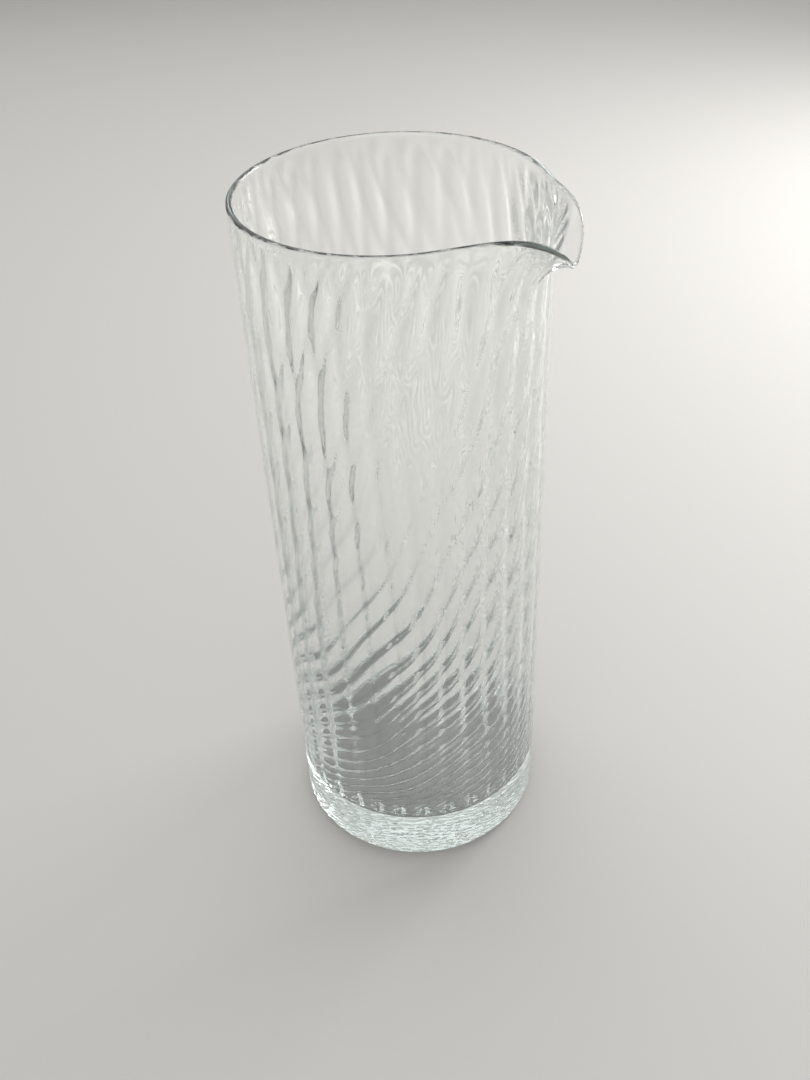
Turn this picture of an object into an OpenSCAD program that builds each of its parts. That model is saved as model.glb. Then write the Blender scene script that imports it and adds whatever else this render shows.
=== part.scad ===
// Mouth-blown glass cocktail pitcher: a straight cylinder on a thick clear base, with an
// optic pattern of crossing ribs inside the wall and a pouring lip pulled from the rim.
// The glass is one piece. Each node is a named zone of it, and the zones meet face to face.
// Millimetres, +Z up, origin at the centre of the foot, lip towards +X.

/* [Body] */
// Outer diameter of the straight body
body_d = 90; // [76:1:120]
// Height from the foot to the top of the plain rim
body_h = 240; // [180:1:320]
// Mean thickness of the wall where it leaves the base
wall_t = 3.2; // [2.6:0.1:4.6]
// Thickness of the glass at the polished rim
rim_t = 1.8; // [1.4:0.1:2.6]

/* [Base] */
// Thickness of the solid glass under the floor
base_t = 19; // [12:1:30]
// Radius of the rounded heel round the foot
heel_r = 4; // [2:0.5:8]
// Radius of the inside corner between the floor and the wall
corner_r = 6; // [4:0.5:9]
// Height above the floor at which the base zone ends and the wall zone starts
joint_h = 1.5; // [1:0.1:2]
// Diameter of the shallow hollow under the foot
hollow_d = 60; // [40:1:64]
// Depth of the hollow under the foot
hollow_depth = 1.5; // [0.5:0.1:4]

/* [Optic ribs] */
// Number of upright ribs inside the wall, and of the twisted ribs that cross them
rib_count = 32; // [24:1:36]
// Height of an upright rib above the mean wall, low down where the glass is thickest
upright_rib_h = 0.45; // [0.05:0.01:0.6]
// Height that a twisted rib would have there if it lay no closer to the next than an upright one
twisted_rib_h = 0.55; // [0:0.01:0.6]
// Height in which a twisted rib passes from one upright rib to the next, at the floor
low_cross_pitch = 2.3; // [2:0.1:4]
// The same height at the rim, where blowing has drawn the pattern out
high_cross_pitch = 29; // [24:1:36]
// Height above the floor of the lowest full row of crossings
first_cross_h = 6; // [2:0.5:10]
// Height at the foot of the wall zone over which the ribs grow out of the inside corner
floor_fade_h = 3; // [2:0.5:16]
// Height below the rim over which the ribs fade out
rim_fade_h = 7; // [4:0.5:16]

/* [Pouring lip] */
// How far the tip of the lip reaches out past the body
lip_reach = 9.6; // [6:0.1:15]
// How far the tip of the lip droops below the rim
lip_drop = 11.5; // [5:0.1:14]
// Height of the rim zone that the lip is drawn from
lip_h = 22; // [20:1:40]
// How far the rim is drawn in beside the lip
lip_pinch = 1; // [0:0.1:4]
// Half of the angle over which the lip stands out
lip_half_angle = 52.5; // [40:2.5:65]
// Half of the angle over which the lip droops to its tip
drop_half_angle = 26; // [16:1:40]
// Angle over which the tip of the lip is rounded
tip_angle = 1.5; // [0.5:0.5:6]
// Half of the angle over which the rim is drawn in
pinch_half_angle = 150; // [90:5:170]

/* [Hidden] */

$fn = 96;
glass_colour = [0.80, 0.90, 0.87, 0.55];

// Cuts run past the solid by this much
overrun = 0.5;

// Facets: columns for each rib, rows for each crossing, and steps round the small curves
columns_per_rib = 3;
lip_columns_per_rib = 6;
rows_per_cross = 2.5;
collar_rows = 4;
lip_rows = 10;
corner_rows = 4;
rim_steps = 5;

body_r = body_d / 2;
rib_step = 360 / rib_count;
rib_gap = 2 * PI * (body_r - wall_t) / rib_count;
pitch_growth_share = (high_cross_pitch - low_cross_pitch) / (body_h - base_t);
wall_z = base_t + joint_h;
lip_z = body_h - lip_h;
corner_top_z = base_t + corner_r;
hollow_r = ((hollow_d / 2) ^ 2 + hollow_depth ^ 2) / (2 * hollow_depth);

// Rises smoothly from 0 to 1 as x does
function smooth(x) =
    let (c = max(0, min(1, x)))
    c * c * (3 - 2 * c);

// 1 at angle 0, falling smoothly to 0 at the half angle
function bell(angle, half_angle) =
    abs(angle) < half_angle ? (1 + cos(180 * angle / half_angle)) / 2 : 0;

// 1 at angle 0, falling steeply and then ever more gently to 0 at the half angle
function peak(angle, half_angle) =
    let (rounded = sqrt(angle ^ 2 + tip_angle ^ 2) - tip_angle)
    max(0, 1 - rounded / half_angle) ^ 3;

// The glass thins evenly from the base to the rim
function mean_wall(z) =
    wall_t + (rim_t - wall_t) * (z - base_t) / (body_h - base_t);

// The crossings lie close together near the floor and ever further apart towards the rim
function cross_pitch(z) =
    low_cross_pitch + pitch_growth_share * (z - base_t);
first_pitch = cross_pitch(base_t + first_cross_h);

// Upright ribs that a twisted rib passes between the lowest row of crossings and a height
function crossings(z) =
    ln(cross_pitch(z) / first_pitch) / pitch_growth_share;

// The height at which it has passed so many
function crossing_z(count) =
    base_t + (first_pitch * exp(pitch_growth_share * count) - low_cross_pitch) / pitch_growth_share;

// Twisted ribs are lower where they crowd together
function twisted_height(z) =
    twisted_rib_h * cross_pitch(z) / norm([cross_pitch(z), rib_gap]);

// Upright and twisted ribs add up, so that their crossings stand out as drops.
// They thin with the wall, because blowing stretches both.
function rib_height(angle, z) =
    let (turn = 360 * crossings(z))
    let (upright = upright_rib_h * cos(rib_count * angle))
    let (twisted = twisted_height(z) * cos(rib_count * angle - turn))
    let (grown = smooth((z - wall_z) / floor_fade_h) * smooth((body_h - z) / rim_fade_h))
    (upright + twisted) * grown * mean_wall(z) / wall_t;

function corner_inset(z) =
    z < corner_top_z ? corner_r - sqrt(corner_r ^ 2 - (corner_top_z - z) ^ 2) : 0;

function bore_radius(angle, z) =
    body_r - mean_wall(z) - corner_inset(z) - rib_height(angle, z);

// Outward pull and droop of the rim at an angle from the lip
function lip_share(angle) = bell(angle, lip_half_angle) ^ 2;

function rim_pull(angle) =
    (lip_reach + lip_pinch) * lip_share(angle) - lip_pinch * bell(angle, pinch_half_angle);

// The wall keeps its length, so a rim that is pulled out sinks too
function sunk(pull) = pull ^ 2 / (2 * lip_h);

function rim_droop(angle) =
    sunk(rim_pull(angle)) + (lip_drop - sunk(lip_reach)) * peak(angle, drop_half_angle);

// Outside of the rim zone as [radius, height], for a share of its rise.
// The plain wall rises straight, and the lip bends over like a quarter of an ellipse.
function rim_outside(angle, rise_share) =
    let (top = lip_h - rim_t / 2 - rim_droop(angle))
    let (bent_share = sin(90 * rise_share) - rise_share)
    [
        body_r + rim_pull(angle) * (1 - cos(90 * rise_share)),
        lip_z + top * (rise_share + bent_share * lip_share(angle))
    ];

// Direction in which the section of the rim zone runs
slope_share = 0.01;
function rim_direction(angle, rise_share) =
    let (low = rim_outside(angle, rise_share - slope_share))
    let (high = rim_outside(angle, rise_share + slope_share))
    (high - low) / norm(high - low);

// From the outside of the glass to its inside
function inward(direction) = [-direction[1], direction[0]];

function rim_thickness(angle, rise_share) =
    let (z = lip_z + lip_h * rise_share)
    mean_wall(z) + rib_height(angle, z) * (1 - rise_share * lip_share(angle));

function rim_inside(angle, rise_share) =
    rim_outside(angle, rise_share)
        + rim_thickness(angle, rise_share) * inward(rim_direction(angle, rise_share));

// The fire-polished edge is half a circle from the outside to the inside
function rim_edge(angle) =
    let (along = rim_direction(angle, 1))
    let (across = inward(along))
    let (middle = rim_outside(angle, 1) + across * rim_t / 2)
    [
        for (i = [1 : rim_steps - 1])
        let (turn = 180 * i / rim_steps)
        middle + rim_t / 2 * (along * sin(turn) - across * cos(turn))
    ];

function rim_section(angle, rows) =
    concat(
        [for (i = [0 : rows]) rim_outside(angle, i / rows)],
        rim_edge(angle),
        [for (i = [rows : -1 : 0]) rim_inside(angle, i / rows)]
    );

function placed(angle, section) =
    [for (p = section) [p[0] * cos(angle), p[0] * sin(angle), p[1]]];

// Two triangles, whose shared edge runs the way the twisted ribs do
function quad(a, b, c, d) = [[a, b, c], [a, c, d]];

// A zone of the rim between two angles
module rim_zone(from_angle, to_angle, columns, rows) {
    angles = [for (k = [0 : columns]) from_angle + (to_angle - from_angle) * k / columns];
    sections = [for (a = angles) rim_section(a > 180 ? a - 360 : a, rows)];
    count = len(sections[0]);
    points = [for (k = [0 : columns]) each placed(angles[k], sections[k])];
    sides = [
        for (k = [0 : columns - 1], m = [0 : count - 1])
        let (next = (m + 1) % count)
        each quad(k * count + next, (k + 1) * count + next, (k + 1) * count + m, k * count + m)
    ];
    start_cap = [for (m = [count - 1 : -1 : 0]) m];
    end_cap = [for (m = [0 : count - 1]) columns * count + m];
    polyhedron(points, concat(sides, [start_cap, end_cap]), convexity = 6);
}

// The hollow inside of the wall zone, with its crossing ribs
module ribbed_bore() {
    columns = rib_count * columns_per_rib;
    joint_angle = acos(1 - joint_h / corner_r);
    lowest = crossings(corner_top_z);
    passed = crossings(lip_z) - lowest;
    rib_rows = round(passed * rows_per_cross);
    heights = concat(
        [
            for (i = [0 : corner_rows])
            corner_top_z - corner_r * cos(joint_angle + (90 - joint_angle) * i / corner_rows)
        ],
        [for (i = [1 : rib_rows]) i < rib_rows ? crossing_z(lowest + passed * i / rib_rows) : lip_z]
    );
    last = len(heights) - 1;
    ring_heights = concat([heights[0] - overrun], heights, [heights[last] + overrun]);
    rings = [
        for (i = [0 : last + 2])
        let (z = heights[max(0, min(last, i - 1))])
        [
            for (k = [0 : columns - 1])
            let (angle = 360 * k / columns)
            let (r = bore_radius(angle, z))
            [r * cos(angle), r * sin(angle), ring_heights[i]]
        ]
    ];
    points = [for (ring = rings) each ring];
    sides = [
        for (i = [0 : last + 1], k = [0 : columns - 1])
        let (next = (k + 1) % columns)
        each quad(i * columns + k, (i + 1) * columns + k, (i + 1) * columns + next, i * columns + next)
    ];
    bottom_cap = [for (k = [0 : columns - 1]) k];
    top_cap = [for (k = [columns - 1 : -1 : 0]) (last + 2) * columns + k];
    polyhedron(points, concat(sides, [bottom_cap, top_cap]), convexity = 4);
}

module base_outline() {
    floor_r = body_r - mean_wall(base_t);
    difference() {
        union() {
            translate([0, heel_r])
                square([body_r, wall_z - heel_r]);
            square([body_r - heel_r, heel_r]);
            translate([body_r - heel_r, heel_r])
                circle(heel_r);
        }
        translate([0, base_t])
            square([floor_r - corner_r, joint_h + overrun]);
        translate([floor_r - corner_r, corner_top_z])
            circle(corner_r);
        translate([0, hollow_depth - hollow_r])
            circle(hollow_r);
    }
}

// Solid glass foot with a rounded heel, a shallow hollow below and the floor above
module thick_base() {
    color(glass_colour)
        rotate_extrude()
            base_outline();
}

// Straight wall, smooth outside and ribbed inside
module ribbed_wall() {
    color(glass_colour)
        difference() {
            translate([0, 0, wall_z])
                cylinder(h = lip_z - wall_z, r = body_r);
            ribbed_bore();
        }
}

// Plain part of the rim, drawn in a little towards the lip
module rim_collar() {
    span = 360 - 2 * lip_half_angle;
    color(glass_colour)
        rim_zone(
            lip_half_angle,
            lip_half_angle + span,
            round(span / rib_step * columns_per_rib),
            collar_rows
        );
}

// Part of the rim that is pulled out and bent over to pour
module pouring_lip() {
    color(glass_colour)
        rim_zone(
            -lip_half_angle,
            lip_half_angle,
            2 * round(lip_half_angle / rib_step * lip_columns_per_rib),
            lip_rows
        );
}

thick_base();
ribbed_wall();
rim_collar();
pouring_lip();
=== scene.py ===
"""Looks of a mouth-blown glass cocktail pitcher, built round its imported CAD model.

The whole pitcher is one piece of glass, so one closed mesh stands for its four CAD zones.
Metres, +Z up, origin at the centre of the foot, lip towards +X.
"""

import math

import bpy
import numpy as np
from mathutils import Matrix, Vector


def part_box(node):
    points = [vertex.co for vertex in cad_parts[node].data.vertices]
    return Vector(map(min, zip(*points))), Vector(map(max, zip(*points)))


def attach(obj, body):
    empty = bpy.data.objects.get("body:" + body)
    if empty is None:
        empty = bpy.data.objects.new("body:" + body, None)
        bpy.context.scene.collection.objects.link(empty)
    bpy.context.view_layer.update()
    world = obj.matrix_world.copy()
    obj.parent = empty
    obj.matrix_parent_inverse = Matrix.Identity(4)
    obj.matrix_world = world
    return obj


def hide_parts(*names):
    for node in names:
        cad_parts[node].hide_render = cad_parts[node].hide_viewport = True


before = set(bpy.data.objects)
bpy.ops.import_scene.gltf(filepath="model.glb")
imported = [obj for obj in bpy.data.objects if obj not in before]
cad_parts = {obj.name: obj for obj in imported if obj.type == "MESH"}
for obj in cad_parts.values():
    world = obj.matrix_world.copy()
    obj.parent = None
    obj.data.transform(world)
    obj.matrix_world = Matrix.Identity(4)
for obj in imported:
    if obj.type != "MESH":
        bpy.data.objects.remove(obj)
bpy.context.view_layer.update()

MM = 0.001

# The CAD model is flat between its facets' corners, so the smooth glass is a hair smaller
FACET_ROOM = 0.05 * MM

# Body
BODY_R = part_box("ribbed_wall")[1].x
BODY_H = 240 * MM - FACET_ROOM
WALL_T = 3.2 * MM
RIM_T = 1.8 * MM

# Base
BASE_T = 19 * MM
HEEL_R = 4 * MM
CORNER_R = 6 * MM
WALL_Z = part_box("ribbed_wall")[0].z
HOLLOW_R = 30 * MM
HOLLOW_DEPTH = 1.5 * MM

# Optic ribs inside the wall
RIB_COUNT = 32
UPRIGHT_RIB_H = 0.45 * MM
TWISTED_RIB_H = 0.55 * MM
RIB_SHARPNESS = 0.3
RIB_GAP = 2 * math.pi * (BODY_R - WALL_T) / RIB_COUNT
FLOOR_FADE_H = 3 * MM
RIM_FADE_H = 7 * MM

# Upright ribs, against their usual height, in the inside corner and just above it
CORNER_RIB_SHARE = 2
CORNER_RIB_SPAN = 3 * MM
LOW_RIB_SHARE = 0.3
LOW_RIB_SPAN = 80 * MM

# Rows where twisted ribs cross upright ones
LOW_CROSS_PITCH = 2.3 * MM
HIGH_CROSS_PITCH = 29 * MM
FIRST_CROSS_H = 6 * MM
PITCH_GROWTH = (HIGH_CROSS_PITCH - LOW_CROSS_PITCH) / (BODY_H - BASE_T)
FIRST_PITCH = LOW_CROSS_PITCH + PITCH_GROWTH * FIRST_CROSS_H

# Hand work: how far the ribs wander, in radians of their own row, and how uneven they are
RIB_WANDER = 0.6
TWIST_WANDER = 0.7
RIB_UNEVENNESS = 0.25

# Slow waves of that work: count round the glass, radians from foot to rim, and start
PLACE_WAVES = ((3, 5, 0), (5, -8, 1))
TWIST_WAVES = ((6, 15, 3), (10, -24, 6))
HEIGHT_WAVES = ((3, -5, 11), (5, 8, 3))

# Pouring lip
LIP_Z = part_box("ribbed_wall")[1].z
LIP_H = BODY_H - LIP_Z
LIP_REACH = 9.6 * MM - FACET_ROOM
LIP_DROP = 11.5 * MM
LIP_PINCH = 1 * MM
LIP_HALF_ANGLE = math.radians(52.5)
DROP_HALF_ANGLE = math.radians(26)
TIP_ANGLE = math.radians(1.5)
PINCH_HALF_ANGLE = math.radians(150)

# Fineness of the mesh
COLUMNS_PER_RIB = 12
COLUMNS = RIB_COUNT * COLUMNS_PER_RIB
HOLLOW_ROWS = 10
FOOT_ROWS = 4
HEEL_ROWS = 10
OUTSIDE_ROWS = 40
LIP_ROWS = 40
RIM_ROWS = 12
INSIDE_ROWS = 230
CORNER_ROWS = 20
FLOOR_ROWS = 24
SLOPE_STEP = 0.01

# Clear glass with a faint grey-green tint in thick sections
GLASS_COLOR = (0.99, 1.0, 0.995, 1)
GLASS_IOR = 1.51
TINT_COLOR = (0.78, 0.90, 0.87, 1)
TINT_PER_M = 6

# Streaks in its surface, and the grain of its underside, which is not polished
STRIAE_PER_M = 120
STRIAE_STRETCH = 0.15
STRIAE_DEPTH = 0.008 * MM
STRIAE_ROUGHNESS = 0.02
GRAIN_PER_M = 380
GRAIN_DEPTH = 0.3 * MM
GRAIN_LEVEL = (1 * MM, 3 * MM)

# Slant at which its edges begin, and the share of light that it lets through to the floor:
# face on, at its edges and under its foot
SHADOW_START = 0.6
SHADOW_CLEAR = 0.96
SHADOW_EDGE = 0.2
SHADOW_FOOT = 0.6

# The floor, with the film of air under the foot that keeps glass and floor apart
FLOOR_HALF = 1.7
FLOOR_GAP = 0.2 * MM
FLOOR_COLOR = (0.86, 0.84, 0.80, 1)
FLOOR_ROUGHNESS = 0.7

# The room's light. Paths may cross many walls of glass, but end after fewer reflections, which
# darkens the line of the rim
ROOM_COLOR = (1.0, 1.0, 1.0, 1)
ROOM_STRENGTH = 0.25
MAX_CROSSED = 128
MAX_REFLECTED = 24

# The picture and the camera that took it
IMAGE_H = 1080
FOCAL_PX = 1102.4
CAMERA_AZIMUTH = math.radians(33)
CAMERA_DISTANCE = 292.7 * MM
CAMERA_HEIGHT = 353.0 * MM
CAMERA_PITCH = math.radians(38.90)
CAMERA_PAN = math.radians(-0.25)
CAMERA_ROLL = math.radians(-3.02)


def smooth(x):
    """Rises smoothly from 0 to 1 as x does."""
    c = np.clip(x, 0, 1)
    return c * c * (3 - 2 * c)


def bell(angle, half_angle):
    """1 at angle 0, falling smoothly to 0 at the half angle."""
    return np.where(np.abs(angle) < half_angle, (1 + np.cos(np.pi * angle / half_angle)) / 2, 0)


def peak(angle, half_angle):
    """1 at angle 0, falling steeply and then ever more gently to 0 at the half angle."""
    rounded = np.sqrt(angle**2 + TIP_ANGLE**2) - TIP_ANGLE
    return np.maximum(0, 1 - rounded / half_angle) ** 3


def mean_wall(z):
    """The glass thins evenly from the base to the rim."""
    return WALL_T + (RIM_T - WALL_T) * (z - BASE_T) / (BODY_H - BASE_T)


def cross_pitch(z):
    """The crossings lie close together near the floor and ever further apart towards the rim."""
    return LOW_CROSS_PITCH + PITCH_GROWTH * (z - BASE_T)


def crossings(z):
    """Upright ribs that a twisted rib passes between the lowest row of crossings and a height."""
    return np.log(cross_pitch(z) / FIRST_PITCH) / PITCH_GROWTH


def crossing_z(count):
    """The height at which it has passed so many."""
    return BASE_T + (FIRST_PITCH * np.exp(PITCH_GROWTH * count) - LOW_CROSS_PITCH) / PITCH_GROWTH


def hand_wave(waves, angle, z):
    """Slow waves round and up the glass, added up, from being worked by hand."""
    level = z / BODY_H
    return sum(np.sin(count * angle + climb * level + start) for count, climb, start in waves)


def crest(phase):
    """Section of a row of ribs, with tops narrower than the grooves between them."""
    return np.cos(phase) + RIB_SHARPNESS * np.cos(2 * phase)


def rib_height(angle, z):
    """Upright and twisted ribs add up, so that their crossings stand out as drops.

    They thin with the wall, though less than it, because blowing stretches both. Upright ribs
    start out strong in the inside corner, are low just above it and grow again. Twisted ribs
    are lower where they crowd together.
    """
    phase = RIB_COUNT * angle + RIB_WANDER * hand_wave(PLACE_WAVES, angle, z)
    rise = z - BASE_T - CORNER_R
    corner_share = CORNER_RIB_SHARE * np.exp(-((rise / CORNER_RIB_SPAN) ** 2))
    wall_share = LOW_RIB_SHARE + (1 - LOW_RIB_SHARE) * smooth(rise / LOW_RIB_SPAN)
    upright = UPRIGHT_RIB_H * (corner_share + wall_share) * crest(phase)
    turn = 2 * np.pi * crossings(z) - TWIST_WANDER * hand_wave(TWIST_WAVES, angle, z)
    crowded_share = cross_pitch(z) / np.hypot(cross_pitch(z), RIB_GAP)
    twisted = TWISTED_RIB_H * crowded_share * crest(phase - turn)
    grown = smooth((z - WALL_Z) / FLOOR_FADE_H) * smooth((BODY_H - z) / RIM_FADE_H)
    uneven = 1 + RIB_UNEVENNESS * hand_wave(HEIGHT_WAVES, angle, z)
    return (upright + twisted) * grown * uneven * np.sqrt(mean_wall(z) / WALL_T)


def lip_share(angle):
    """Share of the lip's full pull at an angle from it."""
    return bell(angle, LIP_HALF_ANGLE) ** 2


def rim_pull(angle):
    """Outward pull of the rim at an angle from the lip."""
    return (LIP_REACH + LIP_PINCH) * lip_share(angle) - LIP_PINCH * bell(angle, PINCH_HALF_ANGLE)


def sunk(pull):
    """The wall keeps its length, so a rim that is pulled out sinks too."""
    return pull**2 / (2 * LIP_H)


def rim_droop(angle):
    """How far the rim comes down, by sinking and by being bent over at the tip of the lip."""
    return sunk(rim_pull(angle)) + (LIP_DROP - sunk(LIP_REACH)) * peak(angle, DROP_HALF_ANGLE)


def rim_outside(angle, rise_share):
    """Radius and height of the outside of the rim zone, for a share of its rise."""
    top = LIP_H - RIM_T / 2 - rim_droop(angle)
    bent_share = np.sin(np.pi / 2 * rise_share) - rise_share
    radius = BODY_R + rim_pull(angle) * (1 - np.cos(np.pi / 2 * rise_share))
    height = LIP_Z + top * (rise_share + bent_share * lip_share(angle))
    return np.array([radius, height])


def rim_frame(angle, rise_share):
    """Direction in which the section of the rim zone runs, and the direction into the glass."""
    below = rim_outside(angle, rise_share - SLOPE_STEP)
    step = rim_outside(angle, rise_share + SLOPE_STEP) - below
    along = step / np.linalg.norm(step, axis=0)
    return along, np.array([-along[1], along[0]])


def rim_inside(angle, rise_share):
    """Radius and height of the inside of the rim zone. The ribs fade out towards the lip."""
    z = LIP_Z + LIP_H * rise_share
    thickness = mean_wall(z) + rib_height(angle, z) * (1 - rise_share * lip_share(angle))
    return rim_outside(angle, rise_share) + thickness * rim_frame(angle, rise_share)[1]


def rim_edge(angle, turn):
    """The fire-polished edge: half a circle from the outside to the inside."""
    along, inward = rim_frame(angle, 1)
    middle = rim_outside(angle, 1) + inward * RIM_T / 2
    return middle + RIM_T / 2 * (along * np.sin(turn) - inward * np.cos(turn))


def shares(rows):
    """Even shares from just past 0 up to 1."""
    return np.arange(1, rows + 1) / rows


def foot_rings():
    """From near the middle of the foot to the top of the heel, as pairs of radius and height."""
    dome_r = (HOLLOW_R**2 + HOLLOW_DEPTH**2) / (2 * HOLLOW_DEPTH)
    rings = []
    for r in HOLLOW_R * shares(HOLLOW_ROWS):
        rings.append((r, math.sqrt(dome_r**2 - r**2) - dome_r + HOLLOW_DEPTH))
    for share in shares(FOOT_ROWS):
        rings.append((HOLLOW_R + (BODY_R - HEEL_R - HOLLOW_R) * share, 0))
    for turn in np.pi / 2 * shares(HEEL_ROWS):
        rings.append((BODY_R - HEEL_R + HEEL_R * math.sin(turn), HEEL_R - HEEL_R * math.cos(turn)))
    return rings


def floor_rings():
    """From the top of the inside corner to near the middle of the floor."""
    corner_r = BODY_R - mean_wall(BASE_T) - CORNER_R
    corner_z = BASE_T + CORNER_R
    rings = []
    for turn in np.pi / 2 * shares(CORNER_ROWS):
        rings.append((corner_r + CORNER_R * math.cos(turn), corner_z - CORNER_R * math.sin(turn)))
    for share in shares(FLOOR_ROWS)[:-1]:
        rings.append((corner_r * (1 - share), BASE_T))
    return rings


def glass_rings(angle):
    """Every ring of the glass, from the foot up the outside, over the rim and down the inside."""
    level = np.ones_like(angle)
    rings = [np.array([r * level, z * level]) for r, z in foot_rings()]
    for share in shares(OUTSIDE_ROWS):
        rings.append(np.array([BODY_R * level, (HEEL_R + (LIP_Z - HEEL_R) * share) * level]))
    rings += [rim_outside(angle, share) for share in shares(LIP_ROWS)]
    rings += [rim_edge(angle, turn) for turn in np.pi * shares(RIM_ROWS)[:-1]]
    rings += [rim_inside(angle, share) for share in 1 - np.arange(LIP_ROWS) / LIP_ROWS]
    for count in np.linspace(crossings(LIP_Z), crossings(BASE_T + CORNER_R), INSIDE_ROWS + 1):
        z = crossing_z(count)
        rings.append(np.array([BODY_R - mean_wall(z) - rib_height(angle, z), z * level]))
    for r, z in floor_rings():
        rings.append(np.array([r - rib_height(angle, z), z * level]))
    return rings


def glass_mesh():
    """One closed skin of the whole glass."""
    angle = np.linspace(-np.pi, np.pi, COLUMNS, endpoint=False)
    rings = glass_rings(angle)
    points = [(0, 0, HOLLOW_DEPTH)]
    for radius, height in rings:
        points += zip(radius * np.cos(angle), radius * np.sin(angle), height)
    points.append((0, 0, BASE_T))
    faces = []
    for k in range(COLUMNS):
        after = (k + 1) % COLUMNS
        faces.append((0, 1 + after, 1 + k))
        for row in range(len(rings) - 1):
            low = 1 + row * COLUMNS
            high = low + COLUMNS
            faces.append((low + k, low + after, high + after, high + k))
        faces.append((high + k, high + after, len(points) - 1))
    mesh = bpy.data.meshes.new("pitcher_glass")
    mesh.from_pydata(points, [], faces)
    mesh.shade_smooth()
    return mesh


def add_foot_mask(nodes, links, place):
    """1 on the underside of the foot, 0 higher up."""
    split = nodes.new("ShaderNodeSeparateXYZ")
    links.new(place.outputs["Object"], split.inputs["Vector"])
    mask = nodes.new("ShaderNodeMapRange")
    mask.inputs["From Min"].default_value, mask.inputs["From Max"].default_value = GRAIN_LEVEL
    mask.inputs["To Min"].default_value = 1
    mask.inputs["To Max"].default_value = 0
    links.new(split.outputs["Z"], mask.inputs["Value"])
    return mask.outputs["Result"]


def add_streaks(nodes, links, shader, place):
    """Faint upright streaks from drawing the glass out, with a slight change of polish."""
    stretch = nodes.new("ShaderNodeMapping")
    stretch.inputs["Scale"].default_value = (1, 1, STRIAE_STRETCH)
    links.new(place.outputs["Object"], stretch.inputs["Vector"])
    streaks = nodes.new("ShaderNodeTexNoise")
    streaks.inputs["Scale"].default_value = STRIAE_PER_M
    links.new(stretch.outputs["Vector"], streaks.inputs["Vector"])
    polish = nodes.new("ShaderNodeMapRange")
    polish.inputs["To Max"].default_value = STRIAE_ROUGHNESS
    links.new(streaks.outputs["Fac"], polish.inputs["Value"])
    links.new(polish.outputs["Result"], shader.inputs["Roughness"])
    bump = nodes.new("ShaderNodeBump")
    bump.inputs["Distance"].default_value = STRIAE_DEPTH
    links.new(streaks.outputs["Fac"], bump.inputs["Height"])
    return bump.outputs["Normal"]


def add_grain(nodes, links, shader, place, foot_mask, streaked):
    """Dimples on the underside of the foot, on top of the streaks."""
    grain = nodes.new("ShaderNodeTexVoronoi")
    grain.inputs["Scale"].default_value = GRAIN_PER_M
    links.new(place.outputs["Object"], grain.inputs["Vector"])
    bump = nodes.new("ShaderNodeBump")
    bump.inputs["Distance"].default_value = GRAIN_DEPTH
    links.new(foot_mask, bump.inputs["Strength"])
    links.new(grain.outputs["Distance"], bump.inputs["Height"])
    links.new(streaked, bump.inputs["Normal"])
    links.new(bump.outputs["Normal"], shader.inputs["Normal"])


def add_clear_shadow(nodes, links, shader, foot_mask):
    """Light passes to the floor, less of it at a slant to the glass and under the foot."""
    slant = nodes.new("ShaderNodeLayerWeight")
    dimming = nodes.new("ShaderNodeValToRGB")
    dimming.color_ramp.elements[0].position = SHADOW_START
    dimming.color_ramp.elements[0].color = (SHADOW_CLEAR, SHADOW_CLEAR, SHADOW_CLEAR, 1)
    dimming.color_ramp.elements[1].color = (SHADOW_EDGE, SHADOW_EDGE, SHADOW_EDGE, 1)
    links.new(slant.outputs["Facing"], dimming.inputs["Fac"])
    under = nodes.new("ShaderNodeMixRGB")
    under.inputs["Color2"].default_value = (SHADOW_FOOT, SHADOW_FOOT, SHADOW_FOOT, 1)
    links.new(foot_mask, under.inputs["Fac"])
    links.new(dimming.outputs["Color"], under.inputs["Color1"])
    clear = nodes.new("ShaderNodeBsdfTransparent")
    links.new(under.outputs["Color"], clear.inputs["Color"])
    path = nodes.new("ShaderNodeLightPath")
    mix = nodes.new("ShaderNodeMixShader")
    links.new(path.outputs["Is Shadow Ray"], mix.inputs["Fac"])
    links.new(shader.outputs["BSDF"], mix.inputs[1])
    links.new(clear.outputs["BSDF"], mix.inputs[2])
    links.new(mix.outputs["Shader"], nodes["Material Output"].inputs["Surface"])


def glass_material():
    material = bpy.data.materials.new("clear_glass")
    material.use_nodes = True
    nodes = material.node_tree.nodes
    links = material.node_tree.links
    shader = nodes["Principled BSDF"]
    shader.inputs["Base Color"].default_value = GLASS_COLOR
    shader.inputs["Transmission Weight"].default_value = 1
    shader.inputs["IOR"].default_value = GLASS_IOR
    place = nodes.new("ShaderNodeTexCoord")
    foot_mask = add_foot_mask(nodes, links, place)
    streaked = add_streaks(nodes, links, shader, place)
    add_grain(nodes, links, shader, place, foot_mask, streaked)
    add_clear_shadow(nodes, links, shader, foot_mask)
    tint = nodes.new("ShaderNodeVolumeAbsorption")
    tint.inputs["Color"].default_value = TINT_COLOR
    tint.inputs["Density"].default_value = TINT_PER_M
    links.new(tint.outputs["Volume"], nodes["Material Output"].inputs["Volume"])
    return material


def add(name, data):
    piece = bpy.data.objects.new(name, data)
    bpy.context.scene.collection.objects.link(piece)
    return piece


def make_pitcher():
    glass = add("pitcher_glass", glass_mesh())
    glass.data.materials.append(glass_material())
    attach(glass, "root")
    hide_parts("thick_base", "ribbed_wall", "rim_collar", "pouring_lip")


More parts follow.
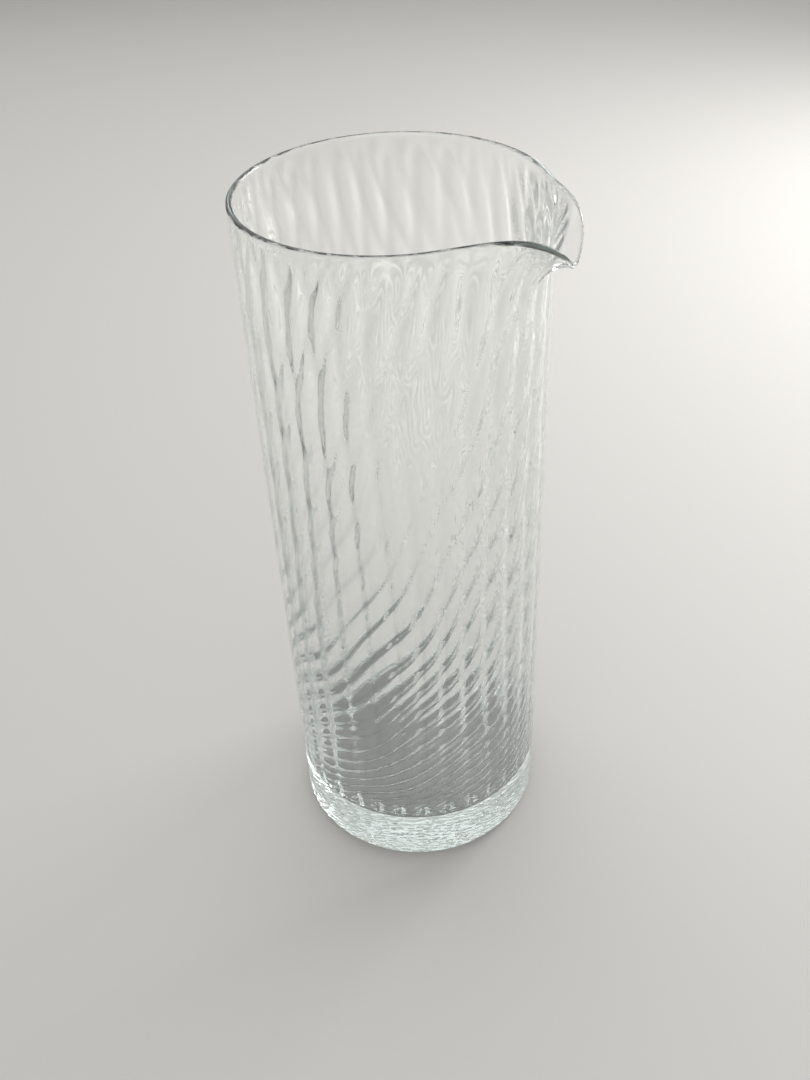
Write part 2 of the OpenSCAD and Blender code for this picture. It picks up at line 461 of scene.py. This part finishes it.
def make_floor():
    sides = [(-1, -1), (1, -1), (1, 1), (-1, 1)]
    corners = [(FLOOR_HALF * x, FLOOR_HALF * y, -FLOOR_GAP) for x, y in sides]
    mesh = bpy.data.meshes.new("studio_floor")
    mesh.from_pydata(corners, [], [(0, 1, 2, 3)])
    floor = add("studio_floor", mesh)
    material = bpy.data.materials.new("pale_floor")
    material.use_nodes = True
    shader = material.node_tree.nodes["Principled BSDF"]
    shader.inputs["Base Color"].default_value = FLOOR_COLOR
    shader.inputs["Roughness"].default_value = FLOOR_ROUGHNESS
    mesh.materials.append(material)


def around(azimuth, elevation, distance):
    """A place seen from the pitcher: azimuth 0 is towards -Y and 90 towards +X, in degrees."""
    a = math.radians(azimuth)
    e = math.radians(elevation)
    return distance * Vector((math.sin(a) * math.cos(e), -math.cos(a) * math.cos(e), math.sin(e)))


def add_softbox(name, azimuth, elevation, distance, size, power):
    lamp = bpy.data.lights.new(name, "AREA")
    lamp.shape = "RECTANGLE"
    lamp.size, lamp.size_y = size
    lamp.energy = power
    box = add(name, lamp)
    aim = Vector((0, 0, BODY_H / 2))
    box.location = aim + around(azimuth, elevation, distance)
    box.rotation_euler = (aim - box.location).to_track_quat("-Z", "Y").to_euler()


def make_light():
    world = bpy.data.worlds.new("studio_room")
    world.use_nodes = True
    background = world.node_tree.nodes["Background"]
    background.inputs["Color"].default_value = ROOM_COLOR
    background.inputs["Strength"].default_value = ROOM_STRENGTH
    bpy.context.scene.world = world
    add_softbox(
        "window_softbox", azimuth=158, elevation=22, distance=0.95, size=(0.4, 0.5), power=4.6
    )
    add_softbox(
        "back_softbox", azimuth=213, elevation=45, distance=1.3, size=(3.0, 1.2), power=8.6
    )
    add_softbox(
        "front_softbox", azimuth=33, elevation=35, distance=1.2, size=(1.2, 0.8), power=3.5
    )


def make_camera():
    lens = bpy.data.cameras.new("photo_camera")
    lens.sensor_fit = "VERTICAL"
    lens.lens = FOCAL_PX / IMAGE_H * lens.sensor_height
    camera = add("photo_camera", lens)
    heading = CAMERA_PAN - CAMERA_AZIMUTH
    level = math.cos(CAMERA_PITCH)
    drop = -math.sin(CAMERA_PITCH)
    forward = Vector((math.sin(heading) * level, math.cos(heading) * level, drop))
    right = forward.cross(Vector((0, 0, 1))).normalized()
    up = right.cross(forward)
    tilted_right = math.cos(CAMERA_ROLL) * right + math.sin(CAMERA_ROLL) * up
    tilted_up = math.cos(CAMERA_ROLL) * up - math.sin(CAMERA_ROLL) * right
    turned = Matrix((tilted_right, tilted_up, -forward)).transposed().to_4x4()
    turned.translation = (
        CAMERA_DISTANCE * math.sin(CAMERA_AZIMUTH),
        -CAMERA_DISTANCE * math.cos(CAMERA_AZIMUTH),
        CAMERA_HEIGHT,
    )
    camera.matrix_world = turned
    bpy.context.scene.camera = camera


bpy.context.scene.view_settings.view_transform = "Standard"
bpy.context.scene.cycles.max_bounces = MAX_CROSSED
bpy.context.scene.cycles.transmission_bounces = MAX_CROSSED
bpy.context.scene.cycles.glossy_bounces = MAX_REFLECTED
bpy.context.scene.cycles.caustics_refractive = False
bpy.context.scene.cycles.caustics_reflective = False
make_pitcher()
make_floor()
make_light()
make_camera()
